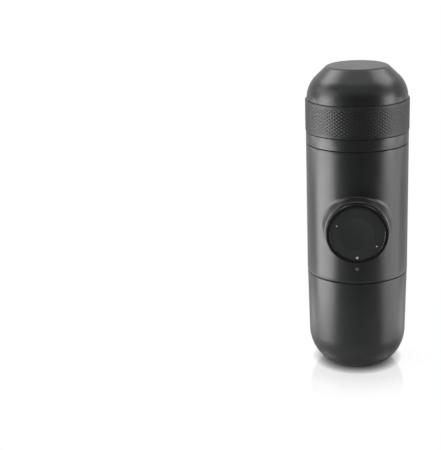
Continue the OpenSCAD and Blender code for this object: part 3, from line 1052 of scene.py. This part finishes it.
@dataclass
class OutletHead:
    """Outlet head: dome with a dished end, glossy collar with its ridge, spout."""

    skirt_inset: float = 2.1 * MM
    skirt_wall: float = 1.7 * MM
    skirt_gap: float = 0.05 * MM
    skirt_screw: Thread = Thread(-0.1 * MM, 0.8 * MM, 3.75 * MM, 0.35 * MM)
    band: float = 1.5 * MM
    band_bevel: float = 0.4 * MM
    dome_inset: float = 14.4 * MM
    dome_drop: float = 14.05 * MM
    dome_arc: float = 13.46 * MM
    dome_wall: float = 2.9 * MM
    dish_rim: float = 1.1 * MM
    dish_depth: float = 1.7 * MM
    dish_floor: float = 2.5 * MM
    dish_inset: float = 3.5 * MM
    dish_foot: float = 0.5 * MM
    dish_round: float = 2.0 * MM
    inner_drop: float = 3.0 * MM
    end_round: float = 0.7 * MM
    stem_hole: float = 5.3 * MM
    collar_wall: float = 1.85 * MM
    collar_round: float = 0.4 * MM
    ridge_proud: float = 0.95 * MM
    ridge_low: float = 3.55 * MM
    ridge_high: float = 4.45 * MM
    ridge_foot: float = 0.05 * MM
    ridge_half: float = 78.0
    stem: float = 5.2 * MM
    outlet: float = 1.8 * MM
    mouth: float = 3.2 * MM
    mouth_depth: float = 1.6 * MM
    mouth_round: float = 0.5 * MM
    outlet_round: float = 0.4 * MM
    flange: float = 1.0 * MM

    def build(self) -> None:
        """Make the dome, the collar, the spout and the thread."""
        self.dome()
        self.collar()
        self.spout()
        bore = radius_of("head_collar") - self.ridge_proud - self.collar_wall
        ridges = self.skirt_screw.build("skirt_thread", Slot.SHELL, bore - self.skirt_gap,
                                        bottom_of("outlet_head"))
        dress(ridges, Slot.SHELL, Body.HEAD)

    def dome(self) -> None:
        """Skirt, neck and dome as one turned shell."""
        low, high = bottom_of("outlet_head"), top_of("outlet_head")
        step = top_of("head_collar")
        wide = radius_of("outlet_head")
        skirt = wide - self.skirt_inset
        inner = skirt - self.skirt_wall
        bend = high - self.dome_drop
        centre = wide - self.dome_inset
        outside = dome_line(centre, bend, self.dome_arc)
        inside = dome_line(centre, bend, self.dome_arc - self.dome_wall)
        flat = outside[-1].radius - (high - outside[-1].height) * CONE_SLOPE
        dish = high - self.dish_depth
        under = dish - self.dish_floor
        corners = [
            Corner(inner, low), Corner(skirt, low, SOFT), Corner(skirt, step),
            Corner(wide, step, self.band_bevel),
            Corner(wide, step + self.band, self.band_bevel),
            Corner(wide - SOFT, step + self.band + self.band_bevel, SOFT), *outside,
            Corner(flat, high, self.end_round), Corner(flat - self.dish_rim, high, SOFT),
            Corner(flat - self.dish_rim - self.band_bevel, dish, self.dish_foot),
            Corner(self.stem_hole, dish), Corner(self.stem_hole, under),
            Corner(flat - self.dish_inset, under, self.dish_round), *inside[::-1],
            Corner(inner, bend - self.inner_drop)]
        dome = turned("outlet_head_skin", corners, segments=224)
        dress(dome, Slot.SHELL, Body.HEAD, "outlet_head")

    def collar(self) -> None:
        """Glossy collar, with a ridge in two parts between the notches."""
        low, high = bottom_of("head_collar"), top_of("head_collar")
        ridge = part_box("head_collar")[1].y
        neck = ridge - self.ridge_proud
        bore = neck - self.collar_wall
        band = turned("collar_band", [
            Corner(bore, low), Corner(neck, low, self.collar_round), Corner(neck, high, SOFT),
            Corner(bore, high)], segments=224)
        root, under, over = neck - SOFT, low + self.ridge_low, low + self.ridge_high
        shape = [Corner(root, under - CRISP - self.ridge_foot), Corner(neck, under - CRISP),
                 Corner(ridge, under, SOFT), Corner(ridge, over, SOFT),
                 Corner(neck, over + SOFT), Corner(root, over + SOFT + self.ridge_foot)]
        ridges = [sector(f"collar_ridge_{n}", shape, middle, self.ridge_half, steps=96)
                  for n, middle in enumerate((90.0, 270.0))]
        dress(joined("head_collar_skin", [band, *ridges]), Slot.GLOSS, Body.HEAD, "head_collar")

    def spout(self) -> None:
        """Ring around the outlet in the middle of the dished end."""
        low, high = bottom_of("spout_nozzle"), top_of("spout_nozzle")
        outer, under = radius_of("spout_nozzle"), high - self.flange
        corners = [Corner(self.outlet, low), Corner(self.stem, low), Corner(self.stem, under),
                   Corner(outer, under), Corner(outer, high, self.mouth_round),
                   Corner(self.mouth, high, self.mouth_round),
                   Corner(self.outlet, high - self.mouth_depth, self.outlet_round)]
        spout = turned("spout_nozzle_skin", corners, segments=96)
        dress(spout, Slot.GLOSS, Body.HEAD, "spout_nozzle")


@dataclass
class Cup:
    """Inverted cup: rim, knurled grip sleeve and dome."""

    wall: float = 2.0 * MM
    dome_arc: float = 16.56 * MM
    dome_inset: float = 17.2 * MM
    dome_rise: float = 0.25 * MM
    dome_foot: float = 0.25 * MM
    top_round: float = 1.6 * MM
    inner_round: float = 1.0 * MM
    core_inset: float = 1.1 * MM
    rim_wall: float = 1.7 * MM
    rim_ledge: float = 0.7 * MM
    rim_round: float = 0.45 * MM
    bore_inset: float = 2.1 * MM
    seat_width: float = 0.85 * MM
    seat_depth: float = 0.8 * MM
    lug_rise: float = 1.2 * MM
    lug_height: float = 1.8 * MM
    lug_half: float = 8.0
    grip_wall: float = 1.3 * MM
    edge: float = 0.35 * MM
    dimples: int = 60
    row_step: float = 0.92 * MM
    dimple_depth: float = 0.3 * MM
    dimple_power: float = 2.8
    plain_edge: float = 1.5 * MM
    steps_across: int = 8
    steps_up: int = 5

    def build(self) -> None:
        """Make the shell with its lugs, and the grip sleeve."""
        self.shell()
        self.grip()

    def shell(self) -> None:
        """Rim, core behind the grip and dome as one turned shell, with two lugs inside."""
        low, high = bottom_of("cup_shell"), top_of("cup_shell")
        wide = radius_of("cup_shell")
        rim_high, dome_low = bottom_of("cup_grip") - HAIR, top_of("cup_grip") + HAIR
        core, seat = wide - self.core_inset, wide - self.seat_width
        rim_in, cup_in = wide - self.rim_wall, wide - self.bore_inset
        floor, ledge = low + self.seat_depth, rim_high - self.rim_ledge
        centre, middle = wide - self.dome_inset, dome_low + self.dome_rise
        outside = dome_line(centre, middle, self.dome_arc)
        inside = dome_line(centre, middle, self.dome_arc - self.wall)
        high_in = high - self.wall
        flat = outside[-1].radius - (high - outside[-1].height) * CONE_SLOPE
        flat_in = inside[-1].radius - (high_in - inside[-1].height) * CONE_SLOPE
        corners = [
            Corner(rim_in, floor), Corner(seat, floor), Corner(seat, low),
            Corner(wide, low, self.rim_round), Corner(wide, rim_high, self.rim_round),
            Corner(core, rim_high), Corner(core, dome_low),
            Corner(outside[0].radius + CRISP, dome_low, self.dome_foot), *outside,
            Corner(flat, high, self.top_round), Corner(0, high), Corner(0, high_in),
            Corner(flat_in, high_in, self.inner_round), *inside[::-1],
            Corner(cup_in, ledge + SOFT), Corner(rim_in, ledge - HAIR)]
        body = turned("cup_body", corners, segments=224)
        lug_in, lug_root = radius_of("outlet_head") + SOFT, rim_in + SOFT
        lug_low = bottom_of("head_collar") + self.lug_rise
        lug_high = lug_low + self.lug_height
        shape = [Corner(lug_in, lug_low, SOFT), Corner(lug_root, lug_low),
                 Corner(lug_root, lug_high), Corner(lug_in, lug_high, SOFT)]
        lugs = [sector(f"cup_lug_{n}", shape, angle, self.lug_half)
                for n, angle in enumerate((0.0, 180.0))]
        dress(joined("cup_shell_skin", [body, *lugs]), Slot.SHELL, Body.CUP, "cup_shell")

    def grip(self) -> None:
        """Knurled sleeve: a tube whose surface sinks into staggered diamond dimples."""
        low, high = bottom_of("cup_grip"), top_of("cup_grip")
        outer = radius_of("cup_grip")
        rows = int((high - low - 2 * self.plain_edge) / self.row_step)
        form = NodeTree("grip_form", Dimples=self.dimples, Radius=outer, Low=low, High=high,
                        Step=self.row_step, Rows=rows, Depth=self.dimple_depth, Edge=self.edge)
        columns = form.math("MULTIPLY", form.socket("Dimples"), self.steps_across)
        lines = form.math("MULTIPLY", form.socket("Rows"), self.steps_up)
        sheet = form.node("GeometryNodeMeshGrid", Size_X=1.0, Size_Y=1.0,
                          Vertices_X=form.math("ADD", columns, 1),
                          Vertices_Y=form.math("ADD", lines, 1))
        where = form.node("ShaderNodeSeparateXYZ", "X",
                          Vector=form.node("GeometryNodeInputPosition"))
        across = form.math("ADD", where, 0.5)
        up = form.math("ADD", where.node.outputs["Y"], 0.5)
        turn = form.math("MULTIPLY", across, 2 * math.pi)
        height = form.math("ADD", form.socket("Low"), form.math(
            "MULTIPLY", up, form.math("SUBTRACT", form.socket("High"), form.socket("Low"))))
        pit = self.pit(form, turn, height)
        sunk = form.math("ADD", form.math("MULTIPLY", pit, form.socket("Depth")),
                         self.rounding(form, height))
        reach = form.math("SUBTRACT", form.socket("Radius"), sunk)
        point = form.node("ShaderNodeCombineXYZ",
                          X=form.math("MULTIPLY", reach, form.math("COSINE", turn)),
                          Y=form.math("MULTIPLY", reach, form.math("SINE", turn)), Z=height)
        bent = form.node("GeometryNodeSetPosition", Geometry=sheet, Position=point)
        closed = form.node("GeometryNodeMergeByDistance", Geometry=bent, Distance=SEAM)
        sleeve = form.finish(closed, "cup_grip_skin", Slot.SHELL)
        self.close_sleeve(sleeve, low, high, outer)
        smooth(sleeve, sharp_from=50)
        dress(sleeve, Slot.SHELL, Body.CUP, "cup_grip", finish="grip")

    def pit(self, form: NodeTree, turn: bpy.types.NodeSocket,
            height: bpy.types.NodeSocket) -> bpy.types.NodeSocket:
        """How deep the surface lies in a dimple, from 0 on the ridges to 1 in the middle.

        Args:
            form: The grip's tree.
            turn: Angle around the sleeve.
            height: Height on the sleeve.

        Returns:
            The depth as a share of the full depth, 0 outside the knurled band.
        """
        middle = form.math("MULTIPLY", form.math(
            "ADD", form.socket("Low"), form.socket("High")), 0.5)
        half = form.math("MULTIPLY", form.math(
            "MULTIPLY", form.socket("Rows"), form.socket("Step")), 0.5)
        from_low = form.math("SUBTRACT", height, form.math("SUBTRACT", middle, half))
        u = form.math("MULTIPLY", turn, form.socket("Dimples"))
        v = form.math("MULTIPLY", form.math("DIVIDE", from_low, form.socket("Step")), math.pi)
        first = form.math("COSINE", form.math("MULTIPLY", form.math("ADD", u, v), 0.5))
        second = form.math("COSINE", form.math("MULTIPLY", form.math("SUBTRACT", u, v), 0.5))
        bowl = form.math("POWER", form.math("ABSOLUTE", form.math("MULTIPLY", first, second)),
                         self.dimple_power)
        inside = form.math("LESS_THAN", form.math(
            "ABSOLUTE", form.math("SUBTRACT", height, middle)), half)
        return form.math("MULTIPLY", bowl, inside)

    def rounding(self, form: NodeTree, height: bpy.types.NodeSocket) -> bpy.types.NodeSocket:
        """How far the sleeve's two edges draw in at a height.

        Args:
            form: The grip's tree.
            height: Height on the sleeve.

        Returns:
            The distance, 0 away from the edges.
        """
        up = form.math("SUBTRACT", height, form.socket("Low"))
        down = form.math("SUBTRACT", form.socket("High"), height)
        near = form.math("DIVIDE", form.math("MINIMUM", up, down), form.socket("Edge"))
        short = form.math("MAXIMUM", form.math("SUBTRACT", 1.0, near), 0.0)
        return form.math("MULTIPLY", form.math("MULTIPLY", short, short), form.socket("Edge"))

    def close_sleeve(self, sleeve: bpy.types.Object, low: float, high: float,
                     outer: float) -> None:
        """Give the sleeve its flat ends and its bore.

        Args:
            sleeve: The sleeve's outer surface.
            low: Its lower end.
            high: Its upper end.
            outer: Its radius.
        """
        inner = outer - self.grip_wall
        made = bmesh.new()
        made.from_mesh(sleeve.data)
        rims, bores = [], []
        for z in (low, high):
            rim = sorted((v for v in made.verts if abs(v.co.z - z) < SEAM),
                         key=lambda v: math.atan2(v.co.y, v.co.x))
            rims.append(rim)
            bores.append([made.verts.new((*v.co.xy.normalized() * inner, v.co.z)) for v in rim])
        for near, far in ((rims[0], bores[0]), (bores[0], bores[1]), (bores[1], rims[1])):
            for k in range(len(near)):
                made.faces.new((near[k - 1], near[k], far[k], far[k - 1]))
        bmesh.ops.recalc_face_normals(made, faces=made.faces)
        made.to_mesh(sleeve.data)
        made.free()


@dataclass
class PlainSolids:
    """The solids as packed, which get a finish; finer pieces stand for some of them later."""

    def build(self) -> None:
        """Put each solid's finish on it."""
        slots = {row["node"]: row["material_slot"] for row in frame["record"]["subparts"]}
        for name, solid in frame["nodes"].items():
            solid.data.materials.clear()
            solid.data.materials.append(MATERIALS[slots[name]])
            LOG.info("%s: packed solid, in %s", name, slots[name])


# ---------------------------------------------------------------- studio


class Tier(Enum):
    """Lower and upper edge of the soft boxes around the device."""

    UNDER = (-0.50, -0.22)
    LOW = (-0.22, -0.02)
    BAND = (-0.02, 0.12)
    WAIST = (-0.02, 0.33)
    SHOULDER = (0.33, 0.60)
    HIGH = (0.60, 1.60)


@dataclass(frozen=True)
class Lamp:
    """An upright soft box around the device.

    The azimuth and the width are in degrees, 0 towards -Y and 90 towards +X.
    """

    name: str
    tier: Tier
    azimuth: float
    width: float
    radiance: float


LAMPS = (
    Lamp("left_under", Tier.UNDER, -100, 70, 2.1), Lamp("right_under", Tier.UNDER, 100, 70, 1.9),
    Lamp("left_low", Tier.LOW, -76, 50, 7.6), Lamp("right_low", Tier.LOW, 82, 54, 2.6),
    Lamp("left_band", Tier.BAND, -108, 22, 4.0), Lamp("right_band", Tier.BAND, 108, 22, 2.5),
    Lamp("left_waist", Tier.WAIST, -75, 34, 6.9), Lamp("right_waist", Tier.WAIST, 76, 28, 5.6),
    Lamp("left_shoulder", Tier.SHOULDER, -84, 56, 2.2),
    Lamp("right_shoulder", Tier.SHOULDER, 81, 45, 0.85),
    Lamp("left_high", Tier.HIGH, -119, 36, 5.8), Lamp("right_high", Tier.HIGH, 112, 44, 4.1),
    Lamp("front_high", Tier.HIGH, 0, 120, 0.43), Lamp("front_under", Tier.UNDER, 0, 100, 0.56),
    Lamp("back_shoulder", Tier.SHOULDER, 180, 60, 0.5),
)


@dataclass
class Studio:
    """Floor, world, lamps and the camera at the photograph's place."""

    camera_at: tuple[float, float, float] = (-0.0013, -0.6047, 0.2770)
    yaw: float = 7.434
    pitch: float = 17.666
    roll: float = -2.282
    focal_pixels: float = 1081.6
    image_height: float = 450.0
    sensor: float = 36.0
    clip: tuple[float, float] = (0.01, 20.0)
    lamp_distance: float = 0.62
    top_height: float = 0.85
    top_size: float = 0.5
    top_radiance: float = 1.2
    ambient: float = 0.06
    back_from: float = 0.1
    back_full: float = 0.7
    back_white: float = 0.66
    floor_radius: float = 1.2
    floor_sides: int = 96
    floor_glow: float = 0.70
    floor_tone: tuple[float, float] = (0.66, 0.22)
    floor_ior: tuple[float, float] = (2.0, 3.0)
    floor_roughness: float = 0.10
    # reach and power of the painted contact shadow, ambient occlusion that darkens the floor's
    # glow
    shadow_reach: float = 0.0062
    shadow_power: float = 1.3
    fade_from: tuple[float, float] = (0.035, 0.028)
    fade_to: tuple[float, float] = (0.09, 0.062)

    def build(self) -> None:
        """Make everything around the device."""
        bpy.context.scene.view_settings.view_transform = "Standard"
        self.camera()
        self.world()
        self.floor()
        for box in LAMPS:
            self.lamp(box)
        over = self.area("top", (self.top_size, self.top_size), self.top_radiance)
        over.location = (0, 0, self.top_height)

    def camera(self) -> None:
        """Place the camera by its yaw, pitch and roll."""
        yaw, pitch, roll = (math.radians(a) for a in (self.yaw, self.pitch, self.roll))
        ahead = Vector((-math.sin(yaw) * math.cos(pitch), math.cos(yaw) * math.cos(pitch),
                        -math.sin(pitch)))
        level = Vector((math.cos(yaw), math.sin(yaw), 0))
        upright = level.cross(ahead)
        right = level * math.cos(roll) + upright * math.sin(roll)
        up = upright * math.cos(roll) - level * math.sin(roll)
        lens = bpy.data.cameras.new("camera")
        lens.sensor_width = self.sensor
        lens.lens = self.focal_pixels / self.image_height * self.sensor
        lens.clip_start, lens.clip_end = self.clip
        eye = bpy.data.objects.new("camera", lens)
        turn = Matrix((right, up, -ahead)).transposed().to_4x4()
        eye.matrix_world = Matrix.Translation(self.camera_at) @ turn
        bpy.context.scene.collection.objects.link(eye)
        bpy.context.scene.camera = eye

    def world(self) -> None:
        """White behind the device for the camera and reflections, dim for its light."""
        world = bpy.data.worlds.new("studio")
        world.use_nodes = True
        bpy.context.scene.world = world
        nodes, links = world.node_tree.nodes, world.node_tree.links
        nodes.clear()
        rays = nodes.new("ShaderNodeLightPath")
        seen = nodes.new("ShaderNodeMath")
        seen.operation = "MAXIMUM"
        links.new(rays.outputs["Is Camera Ray"], seen.inputs[0])
        links.new(rays.outputs["Is Transmission Ray"], seen.inputs[1])
        dim, white = nodes.new("ShaderNodeBackground"), nodes.new("ShaderNodeBackground")
        dim.inputs["Strength"].default_value = self.ambient
        white.inputs["Color"].default_value = (1, 1, 1, 1)
        mix, out = nodes.new("ShaderNodeMixShader"), nodes.new("ShaderNodeOutputWorld")
        either = nodes.new("ShaderNodeMath")
        either.operation = "MAXIMUM"
        links.new(seen.outputs[0], either.inputs[0])
        links.new(self.behind(nodes, links, rays.outputs["Is Glossy Ray"]), either.inputs[1])
        links.new(either.outputs[0], mix.inputs["Fac"])
        links.new(dim.outputs[0], mix.inputs[1])
        links.new(white.outputs[0], mix.inputs[2])
        links.new(mix.outputs[0], out.inputs["Surface"])

    def behind(self, nodes: bpy.types.Nodes, links: bpy.types.NodeLinks,
               glossy: bpy.types.NodeSocket) -> bpy.types.NodeSocket:
        """How white a reflection finds the world: white at the back, dark elsewhere.

        Args:
            nodes: The world's nodes.
            links: The world's links.
            glossy: Whether the ray is a reflection.

        Returns:
            The share of white.
        """
        where = nodes.new("ShaderNodeTexCoord")
        split = nodes.new("ShaderNodeSeparateXYZ")
        span = nodes.new("ShaderNodeMapRange")
        span.interpolation_type = "SMOOTHSTEP"
        span.inputs["From Min"].default_value = self.back_from
        span.inputs["From Max"].default_value = self.back_full
        span.inputs["To Max"].default_value = self.back_white
        both = nodes.new("ShaderNodeMath")
        both.operation = "MULTIPLY"
        links.new(where.outputs["Generated"], split.inputs[0])
        links.new(split.outputs["Y"], span.inputs["Value"])
        links.new(span.outputs["Result"], both.inputs[0])
        links.new(glossy, both.inputs[1])
        return both.outputs[0]

    def floor(self) -> None:
        """White glossy floor that fades into the white world away from the device.

        It mirrors the device and lights it from below as a white table does, while the camera sees
        it in a plainer tone. Its shadow at the device's foot is partly cast by the lamps and
        partly painted, as ambient occlusion darkens the camera's glow there.
        """
        bpy.ops.mesh.primitive_circle_add(vertices=self.floor_sides, radius=self.floor_radius,
                                          fill_type="NGON")
        plate = bpy.context.object
        plate.name = "floor"
        material = bpy.data.materials.new("floor_white")
        material.use_nodes = True
        tree = material.node_tree
        shader = tree.nodes["Principled BSDF"]
        shader.inputs["Roughness"].default_value = self.floor_roughness
        glow = tree.nodes.new("ShaderNodeEmission")
        rays = tree.nodes.new("ShaderNodeLightPath")
        for socket, pair in (("Base Color", self.floor_tone), ("IOR", self.floor_ior)):
            choice = tree.nodes.new("ShaderNodeMapRange")
            choice.inputs["To Min"].default_value, choice.inputs["To Max"].default_value = pair
            tree.links.new(rays.outputs["Is Camera Ray"], choice.inputs["Value"])
            tree.links.new(choice.outputs["Result"], shader.inputs[socket])
        # Painted contact shadow: ambient occlusion darkens the camera's glow near the device's
        # foot.
        nearby = tree.nodes.new("ShaderNodeAmbientOcclusion")
        nearby.inputs["Distance"].default_value = self.shadow_reach
        lift, shaded = tree.nodes.new("ShaderNodeMath"), tree.nodes.new("ShaderNodeMath")
        lift.operation = shaded.operation = "MULTIPLY"
        deep = tree.nodes.new("ShaderNodeMath")
        deep.operation = "POWER"
        deep.inputs[1].default_value = self.shadow_power
        lift.inputs[1].default_value = self.floor_glow
        tree.links.new(rays.outputs["Is Camera Ray"], lift.inputs[0])
        tree.links.new(lift.outputs[0], shaded.inputs[0])
        tree.links.new(nearby.outputs["AO"], deep.inputs[0])
        tree.links.new(deep.outputs[0], shaded.inputs[1])
        tree.links.new(shaded.outputs[0], glow.inputs["Strength"])
        both = tree.nodes.new("ShaderNodeAddShader")
        tree.links.new(shader.outputs[0], both.inputs[0])
        tree.links.new(glow.outputs[0], both.inputs[1])
        self.fade(tree, both.outputs[0], rays.outputs["Is Camera Ray"])
        plate.data.materials.append(material)

    def fade(self, tree: bpy.types.NodeTree, surface: bpy.types.NodeSocket,
             seen: bpy.types.NodeSocket) -> None:
        """End the floor's material with a clear edge and a clear underside.

        Args:
            tree: The floor's node tree.
            surface: Its white surface.
            seen: Whether the ray is the camera's, which finds the edge at other radii.
        """
        where = tree.nodes.new("ShaderNodeTexCoord")
        length = tree.nodes.new("ShaderNodeVectorMath")
        length.operation = "LENGTH"
        span = tree.nodes.new("ShaderNodeMapRange")
        span.interpolation_type = "SMOOTHSTEP"
        for socket, others, camera in (("From Min", *self.fade_from), ("From Max", *self.fade_to)):
            edge = tree.nodes.new("ShaderNodeMapRange")
            edge.inputs["To Min"].default_value = others
            edge.inputs["To Max"].default_value = camera
            tree.links.new(seen, edge.inputs["Value"])
            tree.links.new(edge.outputs["Result"], span.inputs[socket])
        under = tree.nodes.new("ShaderNodeNewGeometry")
        gone = tree.nodes.new("ShaderNodeMath")
        gone.operation = "MAXIMUM"
        tree.links.new(under.outputs["Backfacing"], gone.inputs[1])
        clear = tree.nodes.new("ShaderNodeBsdfTransparent")
        mix = tree.nodes.new("ShaderNodeMixShader")
        tree.links.new(where.outputs["Object"], length.inputs[0])
        tree.links.new(length.outputs["Value"], span.inputs["Value"])
        tree.links.new(span.outputs["Result"], gone.inputs[0])
        tree.links.new(gone.outputs[0], mix.inputs["Fac"])
        tree.links.new(surface, mix.inputs[1])
        tree.links.new(clear.outputs[0], mix.inputs[2])
        tree.links.new(mix.outputs[0], tree.nodes["Material Output"].inputs["Surface"])

    def lamp(self, box: Lamp) -> None:
        """Add an upright soft box that faces the device's axis.

        Args:
            box: The soft box's place, width and brightness.
        """
        low, high = box.tier.value
        size = (2 * self.lamp_distance * math.tan(math.radians(box.width / 2)), high - low)
        light = self.area(box.name, size, box.radiance)
        turn = math.radians(box.azimuth)
        light.location = (self.lamp_distance * math.sin(turn),
                          -self.lamp_distance * math.cos(turn), (low + high) / 2)
        light.rotation_euler = (math.pi / 2, 0, turn)

    def area(self, name: str, size: tuple[float, float], radiance: float) -> bpy.types.Object:
        """Add an area lamp that the camera doesn't see.

        Args:
            name: The lamp's name.
            size: Its width and height.
            radiance: Its brightness per area and angle.

        Returns:
            The lamp, at the origin and facing down.
        """
        light = bpy.data.lights.new(name, "AREA")
        light.shape = "RECTANGLE"
        light.size, light.size_y = size
        light.energy = radiance * math.pi * size[0] * size[1]
        lamp = bpy.data.objects.new(name, light)
        lamp.visible_camera = False
        bpy.context.scene.collection.objects.link(lamp)
        return lamp


def main() -> None:
    """Build the device around its solids, then the studio."""
    logging.basicConfig(level=logging.INFO, format="%(message)s")
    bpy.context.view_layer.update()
    PlainSolids().build()
    Tank().build()
    body = PumpBody()
    body.build()
    PushButton(body).build()
    OutletHead().build()
    Cup().build()
    Studio().build()


if __name__ == "__main__":
    main()
